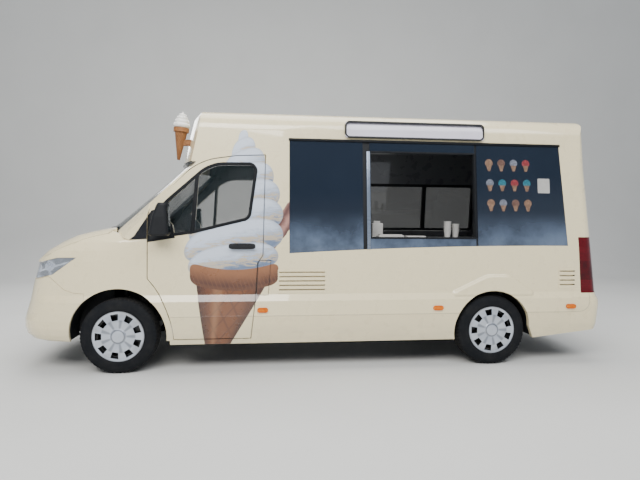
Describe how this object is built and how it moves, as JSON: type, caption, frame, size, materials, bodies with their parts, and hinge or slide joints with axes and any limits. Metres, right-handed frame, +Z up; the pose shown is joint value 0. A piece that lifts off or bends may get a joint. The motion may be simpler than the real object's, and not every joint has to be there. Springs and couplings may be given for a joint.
{
  "type": "ice cream van",
  "caption": "High-roofed ice cream van: large cab with a moulded body, long side serving hatch, blank sign board, roof pod with ornamental cones, opening doors and bonnet.",
  "frame": {"origin": "on the ground below the middle of the van's outer box", "axes": "+X forward, +Y to the van's left, +Z up"},
  "size_m": [5.9307, 2.344, 2.6],
  "materials": {
    "body_paint": "gloss",
    "door_paint": "gloss",
    "dark_glass": "gloss",
    "clear_glass": "gloss",
    "black_frame": "satin",
    "black_plastic": "matt",
    "lamp_clear": "gloss",
    "lamp_red": "gloss",
    "lamp_amber": "gloss",
    "sign_face": "gloss",
    "wafer": "satin",
    "swirl": "satin",
    "wheel_silver": "satin",
    "tyre": "matt",
    "steel_dark": "matt",
    "steel_bright": "satin",
    "seat_cloth": "matt",
    "floor_vinyl": "matt"
  },
  "bodies": {
    "van": {"body_left": "body_paint", "body_right": "body_paint", "roof": "body_paint", "rear_wall": "body_paint", "front_wings": "body_paint", "front_bumper": "body_paint", "rear_bumper": "body_paint", "scuttle": "black_plastic", "side_vents": "body_paint", "grille": "black_plastic", "headlamps": "lamp_clear", "windscreen": "clear_glass", "pillar_trims": "black_plastic", "window_frames": "black_frame", "window_glass": "dark_glass", "sign_board": "sign_face", "tail_lamps": "lamp_red", "side_markers": "lamp_amber", "cone_wafers": "wafer", "cone_swirls": "swirl", "floor": "floor_vinyl", "arch_liners": "black_plastic", "chassis": "steel_dark", "front_subframe": "steel_dark", "rear_axle": "steel_dark", "engine": "steel_dark", "exhaust": "steel_bright", "fuel_tank": "black_plastic", "seats": "seat_cloth", "dashboard": "black_plastic", "steering_wheel": "black_plastic", "counter": "steel_bright", "machine": "steel_bright"},
    "knuckle_left": {"knuckle_left": "steel_dark"},
    "knuckle_right": {"knuckle_right": "steel_dark"},
    "door_left": {"door_left": "door_paint", "door_glass_left": "clear_glass", "mirror_left": "black_plastic", "handle_left": "black_plastic"},
    "door_right": {"door_right": "door_paint", "door_glass_right": "clear_glass", "mirror_right": "black_plastic", "handle_right": "black_plastic"},
    "bonnet": {"bonnet": "body_paint"},
    "rear_door": {"rear_door": "body_paint", "rear_door_glass": "dark_glass"},
    "fuel_flap": {"fuel_flap": "body_paint"},
    "wheel_front_left": {"wheel_front_left": "wheel_silver", "tyre_front_left": "tyre"},
    "wheel_front_right": {"wheel_front_right": "wheel_silver", "tyre_front_right": "tyre"},
    "wheel_rear_left": {"wheel_rear_left": "wheel_silver", "tyre_rear_left": "tyre"},
    "wheel_rear_right": {"wheel_rear_right": "wheel_silver", "tyre_rear_right": "tyre"}
  },
  "joints": [
    {"name": "steer_left", "type": "hinge", "parent": "van", "child": "knuckle_left", "pos_m": [1.962, 0.735, 0.356], "axis": [0, 0, 1], "range_deg": [-35, 35]},
    {"name": "steer_right", "type": "hinge", "parent": "van", "child": "knuckle_right", "pos_m": [1.962, -0.735, 0.356], "axis": [0, 0, 1], "range_deg": [-35, 35]},
    {"name": "spin_front_left", "type": "hinge", "parent": "knuckle_left", "child": "wheel_front_left", "pos_m": [1.962, 0.858, 0.356], "axis": [0, 1, 0], "continuous": true},
    {"name": "spin_front_right", "type": "hinge", "parent": "knuckle_right", "child": "wheel_front_right", "pos_m": [1.962, -0.858, 0.356], "axis": [0, 1, 0], "continuous": true},
    {"name": "spin_rear_left", "type": "hinge", "parent": "van", "child": "wheel_rear_left", "pos_m": [-1.703, 0.858, 0.356], "axis": [0, 1, 0], "continuous": true},
    {"name": "spin_rear_right", "type": "hinge", "parent": "van", "child": "wheel_rear_right", "pos_m": [-1.703, -0.858, 0.356], "axis": [0, 1, 0], "continuous": true},
    {"name": "door_left_hinge", "type": "hinge", "parent": "van", "child": "door_left", "pos_m": [1.682, 1.012, 1.1], "axis": [0, 0, -1], "range_deg": [0, 70]},
    {"name": "door_right_hinge", "type": "hinge", "parent": "van", "child": "door_right", "pos_m": [1.682, -1.012, 1.1], "axis": [0, 0, 1], "range_deg": [0, 70]},
    {"name": "bonnet_hinge", "type": "hinge", "parent": "van", "child": "bonnet", "pos_m": [2.022, 0, 1.358], "axis": [0, -1, 0], "range_deg": [0, 55]},
    {"name": "rear_door_hinge", "type": "hinge", "parent": "van", "child": "rear_door", "pos_m": [-2.912, 0.326, 0.76], "axis": [-0.0673, 0, -0.9977], "range_deg": [0, 100]},
    {"name": "fuel_flap_hinge", "type": "hinge", "parent": "van", "child": "fuel_flap", "pos_m": [0.564, 0.9865, 0.742], "axis": [-0.0733, -0.0367, 0.9966], "range_deg": [0, 95]}
  ],
  "couplings": [
    {"joint": "steer_right", "follows": "steer_left", "ratio": 1}
  ]
}
